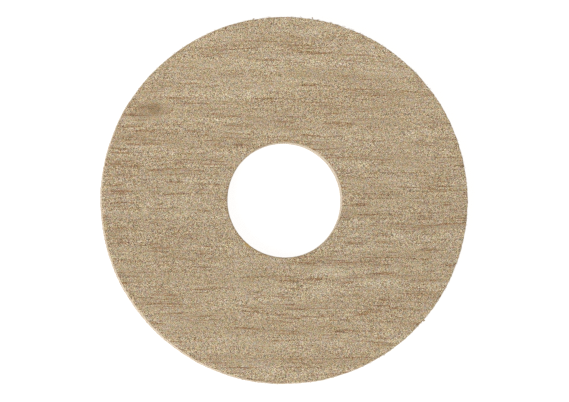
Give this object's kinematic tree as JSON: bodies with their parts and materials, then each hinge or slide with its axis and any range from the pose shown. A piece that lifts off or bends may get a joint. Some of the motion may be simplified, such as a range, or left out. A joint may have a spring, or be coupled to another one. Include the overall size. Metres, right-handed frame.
{
  "type": "washer",
  "caption": "Flat round washer or cover ring of thin plywood with a beech veneer face and a plain central bore.",
  "frame": {"origin": "centre of the bore at the back face, which is the face the washer lies on", "axes": "+Z along the bore axis, out of the decorative face; +X along the face grain"},
  "size_m": [0.055, 0.055, 0.004],
  "materials": {
    "face_veneer_wood": "sanded, bare, matte beech with short dark ray flecks, grain along X",
    "back_veneer_wood": "coarser sanded, bare, matte balancing veneer, grain along X",
    "cross_ply_wood": "cut edge of pale inner plies, grain along Y",
    "core_ply_wood": "cut edge of the pale centre ply, grain along X",
    "bonding_resin": "thin brown resin line between plies, seen at the cut edges"
  },
  "bodies": {
    "root": {"back_veneer": "back_veneer_wood", "back_glue_film": "bonding_resin", "lower_cross_ply": "cross_ply_wood", "lower_core_glue_film": "bonding_resin", "core_ply": "core_ply_wood", "upper_core_glue_film": "bonding_resin", "upper_cross_ply": "cross_ply_wood", "face_glue_film": "bonding_resin", "face_veneer": "face_veneer_wood"}
  },
  "joints": []
}
